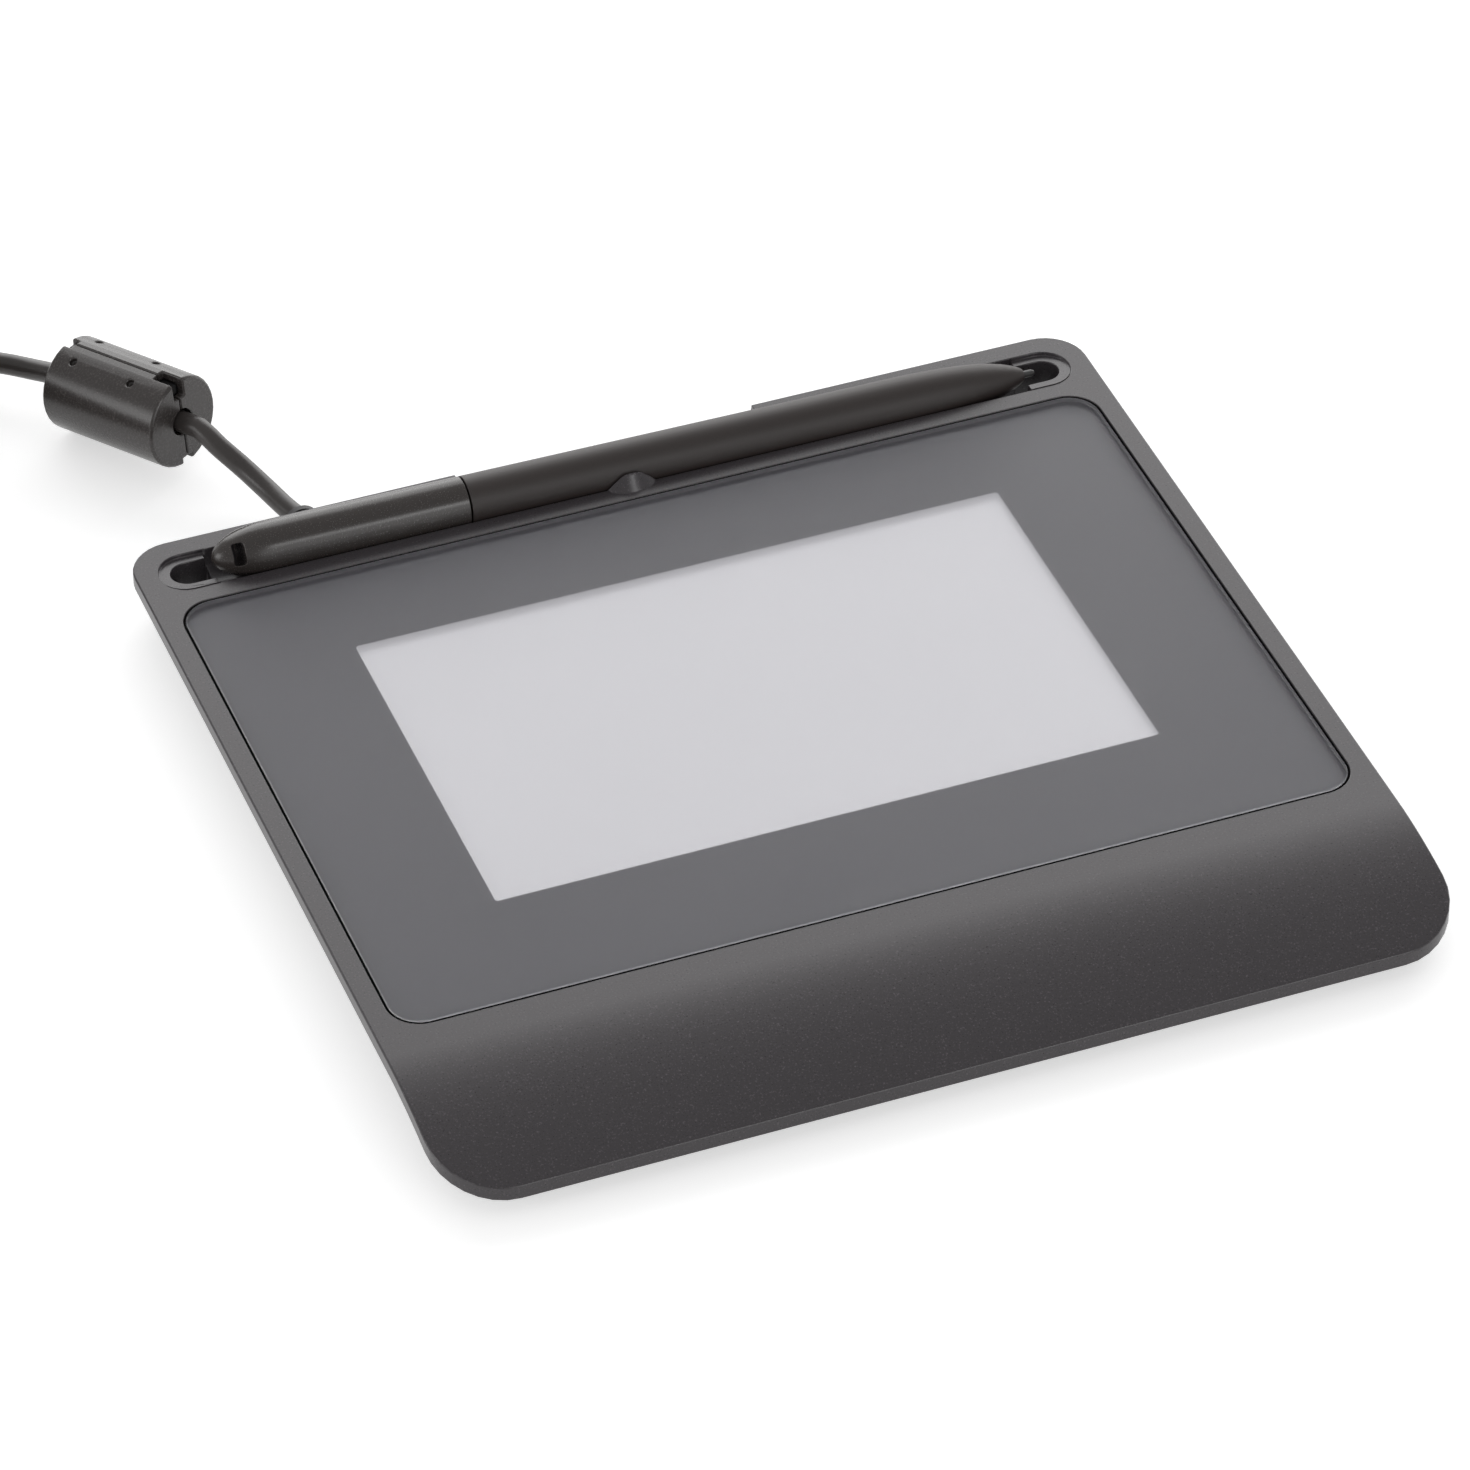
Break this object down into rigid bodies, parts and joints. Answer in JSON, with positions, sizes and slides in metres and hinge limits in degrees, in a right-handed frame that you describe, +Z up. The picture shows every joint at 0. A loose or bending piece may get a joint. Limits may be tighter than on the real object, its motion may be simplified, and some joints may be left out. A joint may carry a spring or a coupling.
{
  "type": "signature pad",
  "caption": "Desk pad with a glass-covered display framed by a wide bezel, a sloped palm rest, a pen lying in a rear tray, and a cable with a clip-on ferrite.",
  "frame": {"origin": "on the desk, under the middle of the pad's own box without its cable", "axes": "+X to the user's right along the pen tray, +Y away from the user towards the tray and the cable, +Z up; the user sits at -Y"},
  "size_m": [0.2524, 0.2318, 0.018],
  "materials": {
    "top_housing": "fine moulded texture, mid grey on the deck, darker on the palm rest",
    "bottom_housing": "fine moulded texture, near black",
    "foot_back_left": "matte black rubber",
    "foot_back_right": "matte black rubber",
    "foot_front_left": "matte black rubber",
    "foot_front_right": "matte black rubber",
    "case_screw_1": "plated steel",
    "case_screw_2": "plated steel",
    "case_screw_3": "plated steel",
    "case_screw_4": "plated steel",
    "cover_glass": "etched, anti-glare",
    "bezel_film": "printed grey border",
    "glass_adhesive": "black foam tape",
    "lcd_panel": "light grey blank display",
    "lcd_backlight": "bare metal back frame",
    "pen_sensor_board": "green solder mask",
    "sensor_shield": "bare metal foil",
    "main_board": "green solder mask",
    "board_screw_left": "plated steel",
    "board_screw_right": "plated steel",
    "display_socket": "ivory connector plastic",
    "sensor_socket": "ivory connector plastic",
    "usb_header": "ivory connector plastic",
    "processor_chip": "black epoxy",
    "shield_can": "tinned steel",
    "display_ribbon": "amber polyimide",
    "sensor_ribbon": "amber polyimide",
    "pen_rear_body": "satin dark grey",
    "pen_front_barrel": "soft matte dark grey",
    "pen_nib": "hard dark plastic",
    "pen_antenna_core": "bare ferrite",
    "pen_antenna_winding": "enamelled copper wire",
    "pen_pressure_sensor": "metal can",
    "pen_board": "green solder mask",
    "strain_relief": "soft matte grey",
    "inner_lead": "black cable jacket",
    "usb_cable": "satin grey cable jacket",
    "cable_coil": "satin grey cable jacket",
    "plug_tail": "satin grey cable jacket",
    "ferrite_case_front": "fine moulded texture, dark grey",
    "ferrite_case_back": "fine moulded texture, dark grey",
    "ferrite_core_front": "bare sintered ferrite",
    "ferrite_core_back": "bare sintered ferrite",
    "cable_tie": "black twist tie",
    "plug_overmould": "satin dark grey",
    "plug_shell": "bright nickel plate",
    "plug_tongue": "white plastic"
  },
  "bodies": {
    "pad": {"top_housing": "top_housing", "bottom_housing": "bottom_housing", "foot_back_left": "foot_back_left", "foot_back_right": "foot_back_right", "foot_front_left": "foot_front_left", "foot_front_right": "foot_front_right", "case_screw_1": "case_screw_1", "case_screw_2": "case_screw_2", "case_screw_3": "case_screw_3", "case_screw_4": "case_screw_4", "cover_glass": "cover_glass", "bezel_film": "bezel_film", "glass_adhesive": "glass_adhesive", "lcd_panel": "lcd_panel", "lcd_backlight": "lcd_backlight", "pen_sensor_board": "pen_sensor_board", "sensor_shield": "sensor_shield", "main_board": "main_board", "board_screw_left": "board_screw_left", "board_screw_right": "board_screw_right", "display_socket": "display_socket", "sensor_socket": "sensor_socket", "usb_header": "usb_header", "processor_chip": "processor_chip", "shield_can": "shield_can", "display_ribbon": "display_ribbon", "sensor_ribbon": "sensor_ribbon", "strain_relief": "strain_relief", "inner_lead": "inner_lead", "usb_cable": "usb_cable", "cable_coil": "cable_coil", "plug_tail": "plug_tail", "ferrite_case_back": "ferrite_case_back", "ferrite_core_back": "ferrite_core_back", "cable_tie": "cable_tie", "plug_overmould": "plug_overmould", "plug_shell": "plug_shell", "plug_tongue": "plug_tongue"},
    "pen": {"pen_rear_body": "pen_rear_body", "pen_front_barrel": "pen_front_barrel", "pen_antenna_core": "pen_antenna_core", "pen_antenna_winding": "pen_antenna_winding", "pen_pressure_sensor": "pen_pressure_sensor", "pen_board": "pen_board"},
    "nib": {"pen_nib": "pen_nib"},
    "ferrite_half": {"ferrite_case_front": "ferrite_case_front", "ferrite_core_front": "ferrite_core_front"}
  },
  "joints": [
    {"name": "pen_lift", "type": "slide", "parent": "pad", "child": "pen", "axis": [0, 0, 1], "range_m": [0, 0.04]},
    {"name": "nib_press", "type": "slide", "parent": "pen", "child": "nib", "axis": [-1, 0, 0.01], "range_m": [0, 0.0005], "stiffness_N_per_m": 1500},
    {"name": "ferrite_release", "type": "slide", "parent": "pad", "child": "ferrite_half", "axis": [-0.8508, -0.5255, 0], "range_m": [0, 0.018]}
  ]
}
